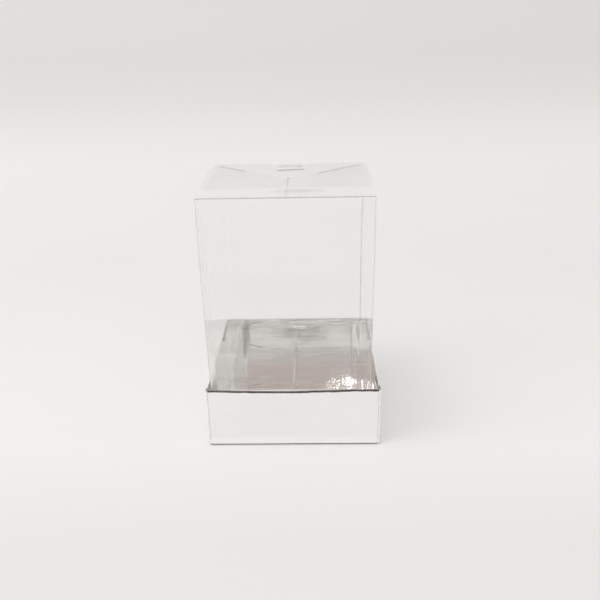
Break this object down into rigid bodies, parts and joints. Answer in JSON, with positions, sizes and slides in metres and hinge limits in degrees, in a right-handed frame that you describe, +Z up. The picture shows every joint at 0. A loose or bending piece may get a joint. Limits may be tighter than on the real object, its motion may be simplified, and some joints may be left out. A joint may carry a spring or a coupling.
{
  "type": "favor box",
  "caption": "Small clear film gift carton with tuck flaps and dust flaps at both ends, standing loose in a shallow white card tray lined with silver.",
  "frame": {"origin": "on the table under the middle of the tray", "axes": "+Z up, -Y towards the viewer, so the lid hinges on the -Y side, +X to the viewer's right"},
  "size_m": [0.0538, 0.0538, 0.0811],
  "materials": {
    "clear_film": "clear glossy film",
    "white_board": "smooth white card",
    "silver_lining": "bright metallised film"
  },
  "bodies": {
    "tray": {"tray_floor": "white_board", "tray_front_wall": "white_board", "tray_back_wall": "white_board", "tray_left_wall": "white_board", "tray_right_wall": "white_board", "tray_front_left_tab": "white_board", "tray_front_right_tab": "white_board", "tray_back_left_tab": "white_board", "tray_back_right_tab": "white_board", "silver_lining": "silver_lining"},
    "carton": {"front_panel": "clear_film", "back_panel": "clear_film", "left_panel": "clear_film", "right_panel": "clear_film", "glue_flap": "clear_film", "bottom_panel": "clear_film"},
    "lid_panel": {"lid_panel": "clear_film"},
    "lid_tuck_flap": {"lid_tuck_flap": "clear_film"},
    "top_left_dust_flap": {"top_left_dust_flap": "clear_film"},
    "top_right_dust_flap": {"top_right_dust_flap": "clear_film"},
    "bottom_tuck_flap": {"bottom_tuck_flap": "clear_film"},
    "bottom_left_dust_flap": {"bottom_left_dust_flap": "clear_film"},
    "bottom_right_dust_flap": {"bottom_right_dust_flap": "clear_film"}
  },
  "joints": [
    {"name": "carton_lift", "type": "slide", "parent": "tray", "child": "carton", "axis": [0, 0, 1], "range_m": [0, 0.045]},
    {"name": "lid_fold", "type": "hinge", "parent": "carton", "child": "lid_panel", "pos_m": [-0.00085, -0.025, 0.07938], "axis": [1, 0, 0], "range_deg": [0, 180]},
    {"name": "lid_tuck_fold", "type": "hinge", "parent": "lid_panel", "child": "lid_tuck_flap", "pos_m": [-0.00085, 0.0243, 0.079], "axis": [-1, 0, 0], "range_deg": [0, 40]},
    {"name": "bottom_tuck_fold", "type": "hinge", "parent": "carton", "child": "bottom_tuck_flap", "pos_m": [-0.00085, -0.0243, 0.00506], "axis": [-1, 0, 0], "range_deg": [0, 40]},
    {"name": "top_left_dust_fold", "type": "hinge", "parent": "carton", "child": "top_left_dust_flap", "pos_m": [-0.02532, 0, 0.079], "axis": [0, 1, 0], "range_deg": [0, 85]},
    {"name": "top_right_dust_fold", "type": "hinge", "parent": "carton", "child": "top_right_dust_flap", "pos_m": [0.02362, 0, 0.079], "axis": [0, -1, 0], "range_deg": [0, 85]},
    {"name": "bottom_left_dust_fold", "type": "hinge", "parent": "carton", "child": "bottom_left_dust_flap", "pos_m": [-0.02532, 0, 0.00506], "axis": [0, -1, 0], "range_deg": [0, 85]},
    {"name": "bottom_right_dust_fold", "type": "hinge", "parent": "carton", "child": "bottom_right_dust_flap", "pos_m": [0.02362, 0, 0.00506], "axis": [0, 1, 0], "range_deg": [0, 85]}
  ]
}
